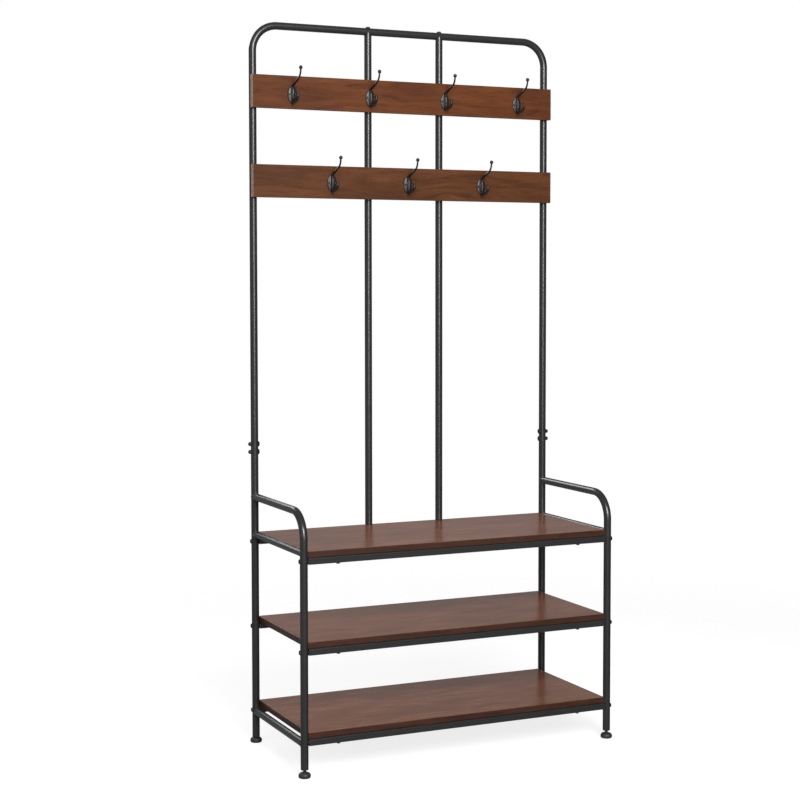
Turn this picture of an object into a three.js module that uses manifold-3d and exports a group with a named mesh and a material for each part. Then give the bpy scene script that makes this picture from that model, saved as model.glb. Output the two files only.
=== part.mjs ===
// A hall tree: a steel tube frame that carries two boards with coat hooks, a bench seat with
// armrests and two shoe shelves, and stands on four levelling feet. Millimetres, +Z up.
// The origin is on the floor under the middle of the object: +X to the right, +Y to the back.
import * as THREE from "three";
import { mergeVertices } from "three/addons/utils/BufferGeometryUtils.js";
import Module from "manifold-3d";

const wasm = await Module();
wasm.setup();

// Frame
const HEIGHT = 1830; // floor to the top of the arch tube
const POST_X = 417.5; // the side posts' centre lines, from the middle plane
const POST_Y = 170.5; // the front and rear posts' centre lines, from the middle plane
const MID_POST_X = 102; // the two middle posts' centre lines
const TUBE_R = 9.5;
const WALL = 1.2;
const BEND_R = 65; // centre line radius of every bend
const FRONT_POST_FOOT_Z = 19.5; // lower end of the front posts
const REAR_POST_FOOT_Z = 14.5; // lower end of the rear posts
const ARM_Z = 631.5; // centre line of the armrests
const SEAT_SIDE_RAIL = { r: 8, z: 535 };
const BASE_SIDE_RAIL = { r: TUBE_R, z: 81 };
const CLEAR = 0.3; // gap left wherever two pieces touch
const SIDES = [["left", -POST_X], ["right", POST_X]];
const PLACES = [["front", -POST_Y], ["rear", POST_Y]];

// Plug-in joints: the lower tube ends in a narrower spigot that fits the upper tube
const SIDE_JOINT_Z = 735; // bolted joint over the armrests
const ARCH_JOINT_Z = 1430; // joint behind the lower hook board
const MID_JOINT_Z = 1154; // joint of the middle posts
const SPIGOT_L = 45;
const SPIGOT_R = TUBE_R - WALL - CLEAR;
const NECK_L = 5; // length over which the bore narrows into the spigot
const JOINT_BOLT_Z = [746, 766];

// Seat, shelves and the rails under them
const SEAT_TOP = 541;
const SHELF_PITCH = 216.8;
const BOARD_T = 15;
const SHELF_W = 818; // a little more than the space between the posts
const SHELF_D = 350;
const RAIL = 16; // outer side of the square rail tube
const NUT_PLATE = { from: 400, to: 404 }; // threaded plate inside each end of a rail, along X

// Hook boards, on the front of the rear posts
const HOOK_BOARD = { w: 854, h: 82.5, t: 15 };
const UPPER_BOARD_Z = 1653.4;
const LOWER_BOARD_Z = 1430;
const UPPER_HOOKS = { x: [-321, -107, 107, 321], z: 1648 };
const LOWER_HOOKS = { x: [-214, 0, 214], z: 1428 };
const HOOK_PLATE = { w: 25, h: 44, t: 3 };
const HOOK_RIB = { w: 8, out: 8, half: 20 };
const UPPER_PRONG_R = 2.4;
const LOWER_PRONG_R = 3;
const PRONG_BALL_R = 4.75;
const PRONG_TIP_R = 3.9;

// Fasteners and feet
const M6_R = 3;
const M6_HOLE_R = M6_R + 0.4;
const M6_THREAD_R = M6_R + CLEAR;
const NUT_L = 16; // welded nuts in the ends of the middle posts
const HEAD_FLAT = TUBE_R + CLEAR; // where a head starts, from the tube's centre line
const RAIL_BOLT = { r: 5.75, t: 2.8, pastNut: 5 }; // pastNut is how far the end passes the nut plate
const JOINT_BUTTON = { r: 6.8, t: 2.8 };
const CAP_NUT = { r: 5.3, t: 7, skirt: 3.5 }; // skirt is the straight part under the dome
const TOP_HEAD = { r: 6, t: 3 };
const FOOT_STUD = { r: 4, l: 30 };
const FOOT_PAD = { r: 15, base: 12.4, rim: 5.5, h: 14.2 }; // widest at height rim
const INSERT_L = 22;

// Facets
const ROUND = 16; // sides of every round tube
const BOLT_SIDES = 8;
const BEND_STEPS = 8;
const DOME_STEPS = 3;
const PRONG_STEPS = 9;
const CUTTER_L = 6 * TUBE_R; // cutters reach well past a tube

const steel = { color: 0x2b2b2d, roughness: 0.5, metalness: 0.75 };
const castIron = { color: 0x1d1c1d, roughness: 0.42, metalness: 0.8 };
const zincBlack = { color: 0x1b1b1c, roughness: 0.38, metalness: 0.85 };
const plastic = { color: 0x141415, roughness: 0.6, metalness: 0 };
const shelfWood = { color: 0x6b4a3c, roughness: 0.38, metalness: 0 };
const hookWood = { color: 0x74452e, roughness: 0.42, metalness: 0 };

const hallTree = new THREE.Group();

function add(name, geometry, look, x = 0, y = 0, z = 0) {
  const mesh = new THREE.Mesh(geometry, new THREE.MeshStandardMaterial(look));
  mesh.name = name;
  mesh.position.set(x, y, z);
  hallTree.add(mesh);
  return mesh;
}

// Solids for cutting and joining
function solid(geometry) {
  const bare = geometry.clone();
  bare.deleteAttribute("normal");
  bare.deleteAttribute("uv");
  const merged = mergeVertices(bare, 1e-4);
  return new wasm.Manifold(
    new wasm.Mesh({
      numProp: 3,
      vertProperties: new Float32Array(merged.attributes.position.array),
      triVerts: new Uint32Array(merged.index.array),
    }),
  );
}

function geometryOf(body) {
  const mesh = body.getMesh();
  const geometry = new THREE.BufferGeometry();
  geometry.setAttribute("position", new THREE.BufferAttribute(mesh.vertProperties, 3));
  geometry.setIndex(new THREE.BufferAttribute(mesh.triVerts, 1));
  geometry.computeVertexNormals();
  return geometry;
}

function cut(geometry, cutters) {
  const whole = cutters.reduce((body, cutter) => body.subtract(solid(cutter)), solid(geometry));
  return geometryOf(whole);
}

function join(pieces) {
  return geometryOf(pieces.map(solid).reduce((body, piece) => body.add(piece)));
}

// A cylinder of the given length centred on a point, along x, y or z
function rod(axis, r, length, at = [0, 0, 0], sides = ROUND) {
  const geometry = new THREE.CylinderGeometry(r, r, length, sides);
  if (axis === "x") geometry.rotateZ(Math.PI / 2);
  if (axis === "z") geometry.rotateX(Math.PI / 2);
  return geometry.translate(...at);
}

// A body turned about the Z axis from a profile of [radius, height] pairs, taken up the outside
function turned(profile, sides = ROUND) {
  const points = profile.map(([r, h]) => new THREE.Vector2(r, h));
  return new THREE.LatheGeometry(points, sides).rotateX(Math.PI / 2);
}

// The same, turned about the X axis, with height along +X
function turnedAlongX(profile, sides = BOLT_SIDES) {
  return turned(profile, sides).rotateY(Math.PI / 2);
}

// A hollow body's profile, which runs up the outside, down the inside and back to its start
function closed(profile) {
  return [...profile, profile[0]];
}

// A quarter of an ellipse in a profile, that leaves its first point straight along the height
function shoulder([r, base], [endR, end]) {
  return Array.from({ length: DOME_STEPS + 1 }, (_, k) => {
    const angle = ((k / DOME_STEPS) * Math.PI) / 2;
    return [endR + (r - endR) * Math.cos(angle), base + (end - base) * Math.sin(angle)];
  });
}

function dome(r, base, tip) {
  return shoulder([r, base], [0, tip]);
}

function ringShape(r, wall) {
  const shape = new THREE.Shape().absarc(0, 0, r, 0, 2 * Math.PI, false);
  shape.holes.push(new THREE.Path().absarc(0, 0, r - wall, 0, 2 * Math.PI, true));
  return shape;
}

// A path through corners with round bends, that has a station at each end of each bend
class BentPath extends THREE.Curve {
  constructor(corners, radius) {
    super();
    this.stations = [];
    const heading = (a, b) => b.clone().sub(a).normalize();
    this.addStation(corners[0], heading(corners[0], corners[1]));
    for (let i = 1; i < corners.length - 1; i++) {
      const before = heading(corners[i - 1], corners[i]);
      const after = heading(corners[i], corners[i + 1]);
      const turn = before.angleTo(after);
      const start = corners[i].clone().addScaledVector(before, -radius * Math.tan(turn / 2));
      const inward = after.clone().addScaledVector(before, -after.dot(before)).normalize();
      for (let k = 0; k <= BEND_STEPS; k++) {
        const angle = (turn * k) / BEND_STEPS;
        const point = start
          .clone()
          .addScaledVector(before, radius * Math.sin(angle))
          .addScaledVector(inward, radius * (1 - Math.cos(angle)));
        const tangent = before.clone().multiplyScalar(Math.cos(angle));
        this.addStation(point, tangent.addScaledVector(inward, Math.sin(angle)));
      }
    }
    const last = corners.length - 1;
    this.addStation(corners[last], heading(corners[last - 1], corners[last]));
  }

  addStation(point, tangent) {
    this.stations.push({ point, tangent });
  }

  get steps() {
    return this.stations.length - 1;
  }

  getPointAt(u) {
    return this.stations[Math.round(u * this.steps)].point.clone();
  }

  getTangentAt(u) {
    return this.stations[Math.round(u * this.steps)].tangent.clone();
  }
}

function bentTube(corners) {
  const path = new BentPath(
    corners.map((c) => new THREE.Vector3(...c)),
    BEND_R,
  );
  return new THREE.ExtrudeGeometry(ringShape(TUBE_R, WALL), {
    steps: path.steps,
    extrudePath: path,
    curveSegments: ROUND / 2,
  });
}

// Tubes that end in a spigot at the top, from height low to the shoulder at height top
function spigotTube(low, top, plug = []) {
  const bore = TUBE_R - WALL;
  return turned(
    closed([
      [TUBE_R, low],
      [TUBE_R, top],
      [SPIGOT_R, top],
      [SPIGOT_R, top + SPIGOT_L],
      [SPIGOT_R - WALL, top + SPIGOT_L],
      [SPIGOT_R - WALL, top - WALL],
      [bore, top - NECK_L],
      ...plug,
      [bore, low],
    ]),
  );
}

// A welded nut in a tube, as profile points down the inside between two heights
function nutProfile(low, high) {
  const bore = TUBE_R - WALL;
  return [
    [bore, high],
    [M6_THREAD_R, high],
    [M6_THREAD_R, low],
    [bore, low],
  ];
}

const levels = {
  seat: SEAT_TOP,
  middle: SEAT_TOP - SHELF_PITCH,
  bottom: SEAT_TOP - 2 * SHELF_PITCH,
};
const railZ = (boardTop) => boardTop - BOARD_T - CLEAR - RAIL / 2;
const railBoltHoles = Object.values(levels).map((top) =>
  rod("x", M6_HOLE_R, CUTTER_L, [0, 0, railZ(top)], BOLT_SIDES),
);
const jointBoltHoles = JOINT_BOLT_Z.map((z) =>
  rod("x", M6_HOLE_R, CUTTER_L, [0, 0, z], BOLT_SIDES),
);

// The side frames and the posts, the same on the left and on the right
const rearPost = cut(spigotTube(REAR_POST_FOOT_Z, SIDE_JOINT_Z), [
  ...railBoltHoles,
  ...jointBoltHoles,
]);
const backPost = cut(spigotTube(SIDE_JOINT_Z + CLEAR, ARCH_JOINT_Z), jointBoltHoles);
const armTube = cut(
  bentTube([
    [0, -POST_Y, FRONT_POST_FOOT_Z],
    [0, -POST_Y, ARM_Z],
    [0, POST_Y, ARM_Z],
  ]),
  [
    rod("z", TUBE_R + CLEAR, CUTTER_L, [0, POST_Y, ARM_Z]),
    ...railBoltHoles.map((hole) => hole.clone().translate(0, -POST_Y, 0)),
  ],
);

function sideRail(r) {
  const tube = new THREE.ExtrudeGeometry(ringShape(r, WALL), {
    depth: 2 * POST_Y,
    bevelEnabled: false,
    curveSegments: ROUND / 2,
  });
  tube.rotateX(Math.PI / 2).translate(0, POST_Y, 0);
  const post = (y) => rod("z", TUBE_R + CLEAR, CUTTER_L, [0, y, 0]);
  return cut(tube, [post(-POST_Y), post(POST_Y)]);
}
const seatSideRail = sideRail(SEAT_SIDE_RAIL.r);
const baseSideRail = sideRail(BASE_SIDE_RAIL.r);

for (const [side, x] of SIDES) {
  add(`rear_post_${side}`, rearPost, steel, x, POST_Y);
  add(`back_post_${side}`, backPost, steel, x, POST_Y);
  add(`arm_tube_${side}`, armTube, steel, x);
  add(`seat_side_rail_${side}`, seatSideRail, steel, x, 0, SEAT_SIDE_RAIL.z);
  add(`base_side_rail_${side}`, baseSideRail, steel, x, 0, BASE_SIDE_RAIL.z);
}

// The arch over the back, and the two middle posts between its bar and the seat
const barZ = HEIGHT - TUBE_R;
const arch = cut(
  bentTube([
    [-POST_X, 0, ARCH_JOINT_Z + CLEAR],
    [-POST_X, 0, barZ],
    [POST_X, 0, barZ],
    [POST_X, 0, ARCH_JOINT_Z + CLEAR],
  ]),
  [-MID_POST_X, MID_POST_X].map((x) =>
    rod("z", M6_HOLE_R, CUTTER_L, [x, 0, barZ], BOLT_SIDES),
  ),
);
add("top_arch", arch, steel, 0, POST_Y);

const TOP_NUT_Z = barZ - 2 * TUBE_R - NUT_L; // lower end of the nut under the bar
const midPostUpper = cut(
  turned(
    closed([
      [TUBE_R, MID_JOINT_Z + CLEAR],
      [TUBE_R, barZ],
      [TUBE_R - WALL, barZ],
      ...nutProfile(TOP_NUT_Z, TOP_NUT_Z + NUT_L),
      [TUBE_R - WALL, MID_JOINT_Z + CLEAR],
    ]),
  ),
  [rod("x", TUBE_R + CLEAR, CUTTER_L, [0, 0, barZ])],
);
const SEAT_NUT_Z = SEAT_TOP + 2 * WALL;
const midPostLower = spigotTube(
  SEAT_TOP + CLEAR,
  MID_JOINT_Z,
  nutProfile(SEAT_NUT_Z, SEAT_NUT_Z + NUT_L),
);
for (const [side, x] of [["left", -MID_POST_X], ["right", MID_POST_X]]) {
  add(`mid_post_upper_${side}`, midPostUpper, steel, x, POST_Y);
  add(`mid_post_lower_${side}`, midPostLower, steel, x, POST_Y);
}

// Rails: square tubes that butt against the posts, with a nut plate inside each end
const RAIL_BORE = RAIL - 2 * WALL;
const RAIL_END = POST_X - TUBE_R - CLEAR;
const railPocket = (from, to) =>
  new THREE.BoxGeometry(to - from, RAIL_BORE, RAIL_BORE).translate((from + to) / 2, 0, 0);
const rail = cut(new THREE.BoxGeometry(2 * RAIL_END, RAIL, RAIL), [
  railPocket(-NUT_PLATE.from, NUT_PLATE.from),
  railPocket(NUT_PLATE.to, POST_X),
  railPocket(-POST_X, -NUT_PLATE.to),
  rod("x", M6_THREAD_R, 2 * POST_X, [0, 0, 0], BOLT_SIDES),
]);
// The boards' corners are hollowed where they meet the posts
const shelfBoard = cut(
  new THREE.BoxGeometry(SHELF_W, SHELF_D, BOARD_T),
  SIDES.flatMap(([, x]) => PLACES.map(([, y]) => rod("z", TUBE_R + CLEAR, CUTTER_L, [x, y, 0]))),
);
const boardNames = { seat: "seat_board", middle: "middle_shelf", bottom: "bottom_shelf" };
for (const [level, top] of Object.entries(levels)) {
  add(`${level}_rail_front`, rail, steel, 0, -POST_Y, railZ(top));
  add(`${level}_rail_rear`, rail, steel, 0, POST_Y, railZ(top));
  add(boardNames[level], shelfBoard, shelfWood, 0, 0, top - BOARD_T / 2);
}

// Bolts, turned about +X from the middle of the post
const RAIL_BOLT_END = NUT_PLATE.from - POST_X - RAIL_BOLT.pastNut;
const railBolt = turnedAlongX([
  [0, RAIL_BOLT_END],
  [M6_R, RAIL_BOLT_END],
  [M6_R, HEAD_FLAT],
  ...dome(RAIL_BOLT.r, HEAD_FLAT, HEAD_FLAT + RAIL_BOLT.t),
]);
const jointBolt = turnedAlongX([
  ...dome(JOINT_BUTTON.r, -HEAD_FLAT, -HEAD_FLAT - JOINT_BUTTON.t).reverse(),
  [M6_R, -HEAD_FLAT],
  [M6_R, HEAD_FLAT],
  [CAP_NUT.r, HEAD_FLAT],
  ...dome(CAP_NUT.r, HEAD_FLAT + CAP_NUT.skirt, HEAD_FLAT + CAP_NUT.t),
]);
for (const [side, x] of SIDES) {
  const facing = side === "left" ? Math.PI : 0;
  for (const [level, top] of Object.entries(levels)) {
    for (const [place, y] of PLACES) {
      const bolt = add(`${level}_bolt_${place}_${side}`, railBolt, zincBlack, x, y, railZ(top));
      bolt.rotation.z = facing;
    }
  }
  for (const [i, z] of JOINT_BOLT_Z.entries()) {
    const bolt = add(`post_joint_bolt_${side}_${i + 1}`, jointBolt, zincBlack, x, POST_Y, z);
    bolt.rotation.z = facing;
  }
}

// Domed screws through the bar into the middle posts
const topScrew = turned(
  [
    [0, TOP_NUT_Z - barZ],
    [M6_R, TOP_NUT_Z - barZ],
    [M6_R, HEAD_FLAT],
    ...dome(TOP_HEAD.r, HEAD_FLAT, HEAD_FLAT + TOP_HEAD.t),
  ],
  BOLT_SIDES,
);
add("top_screw_left", topScrew, zincBlack, -MID_POST_X, POST_Y, barZ);
add("top_screw_right", topScrew, zincBlack, MID_POST_X, POST_Y, barZ);

// Hook boards
const hookBoard = new THREE.BoxGeometry(HOOK_BOARD.w, HOOK_BOARD.t, HOOK_BOARD.h);
const hookBoardY = POST_Y - TUBE_R - CLEAR - HOOK_BOARD.t / 2;
add("upper_hook_board", hookBoard, hookWood, 0, hookBoardY, UPPER_BOARD_Z);
add("lower_hook_board", hookBoard, hookWood, 0, hookBoardY, LOWER_BOARD_Z);

// A hook: an oval plate with a rib, a long upper prong with a ball and a short curled lower prong.
// Its own frame has the board's face at y = 0, and points below are [distance out, height].
function prong(points, r) {
  const curve = new THREE.CatmullRomCurve3(points.map(([out, z]) => new THREE.Vector3(0, -out, z)));
  const section = new THREE.Shape().absarc(0, 0, r, 0, 2 * Math.PI, false);
  return new THREE.ExtrudeGeometry(section, {
    steps: PRONG_STEPS,
    extrudePath: curve,
    curveSegments: 3,
  });
}

function ball(r, out, z) {
  return new THREE.SphereGeometry(r, 8, 6).translate(0, -out, z);
}

function hookPlate() {
  const oval = new THREE.Shape();
  oval.absellipse(0, 0, HOOK_PLATE.w / 2, HOOK_PLATE.h / 2, 0, 2 * Math.PI, false, 0);
  const plate = new THREE.ExtrudeGeometry(oval, {
    depth: HOOK_PLATE.t,
    bevelEnabled: false,
    curveSegments: 7,
  });
  return plate.rotateX(Math.PI / 2);
}

// The rib's side view is half an ellipse that starts inside the plate
function hookRib() {
  const inset = HOOK_PLATE.t / 2;
  const side = new THREE.Shape();
  side.absellipse(inset, 0, HOOK_RIB.out - inset, HOOK_RIB.half, -Math.PI / 2, Math.PI / 2, false, 0);
  const rib = new THREE.ExtrudeGeometry(side, {
    depth: HOOK_RIB.w,
    bevelEnabled: false,
    curveSegments: 6,
  });
  // the profile's x is the distance out, along -Y, and its y is the height
  const turn = new THREE.Matrix4().makeBasis(
    new THREE.Vector3(0, -1, 0),
    new THREE.Vector3(0, 0, 1),
    new THREE.Vector3(-1, 0, 0),
  );
  return rib.translate(0, 0, -HOOK_RIB.w / 2).applyMatrix4(turn);
}

const upperProng = [[2, 18], [20, 26.5], [35, 31.5], [50, 38.5], [58, 47], [61, 58]];
const lowerProng = [[4, -14], [9, -19], [18, -20.5], [29, -18], [38, -12.5], [42, -7], [40.5, -2]];
const hook = join([
  hookPlate(),
  hookRib(),
  prong(upperProng, UPPER_PRONG_R),
  ball(PRONG_BALL_R, 61, 61),
  prong(lowerProng, LOWER_PRONG_R),
  ball(PRONG_TIP_R, 40, -1),
]);
const hookY = hookBoardY - HOOK_BOARD.t / 2 - CLEAR;
for (const [row, { x: places, z }] of [["upper", UPPER_HOOKS], ["lower", LOWER_HOOKS]]) {
  for (const [i, x] of places.entries()) add(`${row}_hook_${i + 1}`, hook, castIron, x, hookY, z);
}

// Levelling feet: a domed pad on a threaded stud that screws into a plug in the tube's end
const padRim = [FOOT_PAD.r, FOOT_PAD.rim];
const foot = turned([
  [0, 0],
  ...shoulder(padRim, [FOOT_PAD.base, 0]).reverse(),
  ...shoulder(padRim, [FOOT_STUD.r, FOOT_PAD.h]).slice(1),
  [FOOT_STUD.r, FOOT_PAD.h + FOOT_STUD.l],
  [0, FOOT_PAD.h + FOOT_STUD.l],
]);
const insert = turned(
  closed([
    [TUBE_R - WALL - CLEAR, 0],
    [TUBE_R - WALL - CLEAR, INSERT_L],
    [FOOT_STUD.r + CLEAR, INSERT_L],
    [FOOT_STUD.r + CLEAR, 0],
  ]),
);
const postFootZ = { front: FRONT_POST_FOOT_Z, rear: REAR_POST_FOOT_Z };
for (const [side, x] of SIDES) {
  for (const [place, y] of PLACES) {
    add(`foot_${place}_${side}`, foot, plastic, x, y);
    add(`foot_insert_${place}_${side}`, insert, plastic, x, y, postFootZ[place]);
  }
}

export default hallTree;
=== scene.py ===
"""The looks of a hall tree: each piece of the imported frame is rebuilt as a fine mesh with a
procedural material, and the welds and small screws that the frame's solids leave out are added."""

import math
import random

import bmesh
import bpy
from mathutils import Matrix, Vector


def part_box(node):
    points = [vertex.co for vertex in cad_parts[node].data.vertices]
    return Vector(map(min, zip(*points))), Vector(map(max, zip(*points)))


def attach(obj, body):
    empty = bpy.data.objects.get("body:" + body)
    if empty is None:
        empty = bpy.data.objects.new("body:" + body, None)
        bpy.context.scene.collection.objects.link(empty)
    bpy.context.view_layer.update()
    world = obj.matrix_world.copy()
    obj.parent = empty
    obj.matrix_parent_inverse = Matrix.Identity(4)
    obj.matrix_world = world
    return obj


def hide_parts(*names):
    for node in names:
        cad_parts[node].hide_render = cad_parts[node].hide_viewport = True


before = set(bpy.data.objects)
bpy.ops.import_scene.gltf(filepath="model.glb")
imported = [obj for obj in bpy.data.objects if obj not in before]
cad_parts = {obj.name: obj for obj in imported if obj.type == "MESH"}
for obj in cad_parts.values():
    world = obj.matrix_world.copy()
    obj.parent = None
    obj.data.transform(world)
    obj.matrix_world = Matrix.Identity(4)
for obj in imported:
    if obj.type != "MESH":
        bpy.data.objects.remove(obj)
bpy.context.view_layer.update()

MM = 0.001
SIDES = ("left", "right")
PLACES = ("front", "rear")
LEVELS = ("seat", "middle", "bottom")
BOARDS = {"seat": "seat_board", "middle": "middle_shelf", "bottom": "bottom_shelf"}
X, Y, Z = Vector((1, 0, 0)), Vector((0, 1, 0)), Vector((0, 0, 1))

# The camera stands in front and to the left, at about two thirds of the object's height
CAMERA = {"place": (-1.8383, -3.8261, 1.1833), "yaw": 24.565, "pitch": -3.047, "roll": -0.056}
CAMERA_LENS = 75.23  # mm, on a 36 mm sensor
CAMERA_SHIFT = -0.04

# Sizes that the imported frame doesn't give, in metres
WALL = 1.2 * MM
SPIGOT_GAP = 0.3 * MM  # between a spigot and the tube that it plugs into
ROUND = 48  # points round a section
RIM = 0.8 * MM  # rounding of a cut tube's end
RIM_WEAR_AND_HIGHLIGHT = 2 * MM  # how far the wear and the painted highlight of a rim reach along the tube
BEND_R = 65 * MM
BEND_STEPS = 20
WELD_R = 1.5 * MM
WELD_PITCH = 1.9 * MM
RAIL_CORNER = 2.2 * MM
NUT_PLATE = {"inset": 4 * MM, "t": 4 * MM, "hole_r": 3.3 * MM}
POST_GAP = 0.3 * MM  # between a board's hollowed corner and its post
BOARD_CORNER = 1.6 * MM
BOARD_EDGE = 1.1 * MM
BOARD_SEAM = 0.25 * MM  # depth of the fine seam round a board's face, and half its width
PIECE_SHARP = 38  # degrees between faces, over which an edge stays sharp
BOARD_SHARP = 50
WELD_SHARP = 60
CAST_SHARP = 70

# Screws and bolts: the radius and height of each head, and the radius and depth of each recess
M6_R = 3 * MM
RAIL_HEAD_T = 2.8 * MM
JOINT_HEAD = {"r": 6.8 * MM, "t": 2.9 * MM}
TOP_HEAD = {"r": 6 * MM, "t": 3.2 * MM}
BOARD_HEAD = {"r": 4.6 * MM, "t": 3.2 * MM}
MID_POST_HEAD = {"r": 5.75 * MM, "t": 2.9 * MM}
HOOK_BOARD_HEAD = {"r": 5 * MM, "t": 2.7 * MM}
HOOK_HEAD = {"r": 2.9 * MM, "t": 1.7 * MM}
SOCKET = {"r": 2.3 * MM, "depth": 1.6 * MM}
BOARD_CROSS = {"r": 2.4 * MM, "depth": 1.3 * MM}
HOOK_CROSS = {"r": 1.7 * MM, "depth": 0.9 * MM}
IN_HEAD = 0.5 * MM  # how far a bolt's shank runs into its head
# For the board screws, the middle posts' screws and the hook boards' bolts: how far the shank
# ends past the surface under the head
SHANK_PAST = 0.4 * MM
HEAD_SEAT = 0.1 * MM  # how far the head of a screw under a rail sits in the rail
JOINT_GAP = 0.1 * MM  # between a post and the heads and nuts of its joint bolts
CAP_NUT_R = 5.75 * MM  # at the hexagon's corners
BOARD_SCREW = {"x": 330 * MM, "r": 2 * MM, "l": 26 * MM}
MID_POST_SCREW_L = 45 * MM
# sunk is how far the head sits in the round post
HOOK_BOARD_BOLT = {"r": 2.5 * MM, "l": 28 * MM, "sunk": 0.4 * MM}
HOOK_SCREW = {"x": 8 * MM, "r": 1.8 * MM, "start": 0.1 * MM, "end": 3 * MM, "head": 2.7 * MM}
THREAD = {"pitch": 1.25 * MM, "depth": 0.55 * MM}
THREAD_STEPS = 10  # sections of a thread in one pitch


# --- Geometry -----------------------------------------------------------------------------

def centre(node):
    low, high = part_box(node)
    return (low + high) / 2


def half_size(node):
    low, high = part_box(node)
    return (high - low) / 2


class Straight:
    """A straight line: its place and two side directions at a distance along it."""

    def __init__(self, start, direction, side):
        self.start = Vector(start)
        self.direction = Vector(direction).normalized()
        self.side = Vector(side)
        self.up = self.direction.cross(self.side).normalized()

    def at(self, distance):
        return self.start + self.direction * distance, self.side, self.up


class Bent:
    """A line through corners in one plane, with round bends."""

    def __init__(self, corners, radius, side):
        corners = [Vector(c) for c in corners]
        self.side = Vector(side)
        self.parts = []  # (length, place and direction at a distance into this part)
        self.marks = []  # distances of the stations in the bends
        self.length = 0.0
        at = corners[0]
        for i in range(1, len(corners) - 1):
            before = (corners[i] - corners[i - 1]).normalized()
            after = (corners[i + 1] - corners[i]).normalized()
            turn = before.angle(after)
            entry = corners[i] - before * radius * math.tan(turn / 2)
            self.add_run(at, before, (entry - at).length)
            self.add_bend(entry, before, after, radius, turn)
            at = corners[i] + after * radius * math.tan(turn / 2)
        self.add_run(at, (corners[-1] - at).normalized(), (corners[-1] - at).length)

    def add_run(self, start, direction, length):
        self.parts.append((length, lambda d: (start + direction * d, direction)))
        self.length += length

    def add_bend(self, start, before, after, radius, turn):
        inward = (after - before * after.dot(before)).normalized()
        self.marks += [self.length + radius * turn * k / BEND_STEPS for k in range(BEND_STEPS + 1)]

        def along(d):
            a = d / radius
            place = start + before * radius * math.sin(a) + inward * radius * (1 - math.cos(a))
            return place, before * math.cos(a) + inward * math.sin(a)

        self.parts.append((radius * turn, along))
        self.length += radius * turn

    def at(self, distance):
        left = distance
        for length, along in self.parts:
            if left <= length + 1e-9:
                break
            left -= length
        place, direction = along(left)
        return place, self.side, direction.cross(self.side).normalized()


class Smooth:
    """A smooth line through points in one plane, read at an even count of steps."""

    def __init__(self, points, side):
        self.points = [Vector(p) for p in points]
        self.side = Vector(side)

    def at(self, distance):
        """distance runs from 0 at the first point to 1 at the last."""
        place = self.place(distance)
        step = 1e-3
        ahead = self.place(min(1, distance + step)) - self.place(max(0, distance - step))
        return place, self.side, ahead.normalized().cross(self.side).normalized()

    def place(self, t):
        spans = len(self.points) - 1
        i = min(int(t * spans), spans - 1)
        u = t * spans - i
        p1, p2 = self.points[i], self.points[i + 1]
        p0 = self.points[i - 1] if i else p1 * 2 - p2
        p3 = self.points[i + 2] if i + 2 <= spans else p2 * 2 - p1
        return 0.5 * (
            p1 * 2 + (p2 - p0) * u
            + (p0 * 2 - p1 * 5 + p2 * 4 - p3) * u * u
            + (p1 * 3 - p0 - p2 * 3 + p3) * u * u * u
        )


def circle(r, stretch=1.0):
    """Points round a circle, or an ellipse that is stretched along the second direction."""
    turns = [2 * math.pi * k / ROUND for k in range(ROUND)]
    return [(r * math.cos(a), r * stretch * math.sin(a)) for a in turns]


def hexagon(r):
    """Points round a hexagon whose corners are at r."""
    points = []
    for k in range(ROUND):
        a = 2 * math.pi * k / ROUND
        away = a % (math.pi / 3) - math.pi / 6
        reach = r * math.cos(math.pi / 6) / math.cos(away)
        points.append((reach * math.cos(a), reach * math.sin(a)))
    return points


def cross(r):
    """Points round a cross recess whose arms reach r."""
    points = []
    for k in range(ROUND):
        a = 2 * math.pi * k / ROUND
        reach = r * (0.36 + 0.64 * abs(math.cos(2 * a)) ** 6)
        points.append((reach * math.cos(a), reach * math.sin(a)))
    return points


def rounded_box(half_w, half_h, corner):
    """Points round a rectangle with round corners."""
    per_corner = ROUND // 4
    points = []
    for corner_at, (sx, sy) in enumerate([(1, 1), (-1, 1), (-1, -1), (1, -1)]):
        for k in range(per_corner):
            a = math.pi / 2 * (corner_at + k / (per_corner - 1))
            points.append((
                sx * (half_w - corner) + corner * math.cos(a),
                sy * (half_h - corner) + corner * math.sin(a),
            ))
    return points


def hollowed_box(half_x, half_y, inset, post, post_r):
    """Points round a board, drawn in by an inset, whose corners are hollowed to fit round the
    posts. post is the place of the post's middle in the (+, +) corner."""
    reach = post_r + inset
    half_x, half_y = half_x - inset, half_y - inset
    side = math.atan2(-math.sqrt(reach ** 2 - (post[0] - half_x) ** 2), half_x - post[0])
    end = math.atan2(half_y - post[1], -math.sqrt(reach ** 2 - (half_y - post[1]) ** 2))
    turn = (side - end) % (2 * math.pi)
    per_corner = ROUND // 4
    arc = []
    for k in range(per_corner):
        a = side - turn * k / (per_corner - 1)
        arc.append((post[0] + reach * math.cos(a), post[1] + reach * math.sin(a)))
    points = []
    for sx, sy, order in ((1, 1, 1), (-1, 1, -1), (-1, -1, 1), (1, -1, -1)):
        points += [(sx * u, sy * v) for u, v in arc[::order]]
    return points


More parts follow.
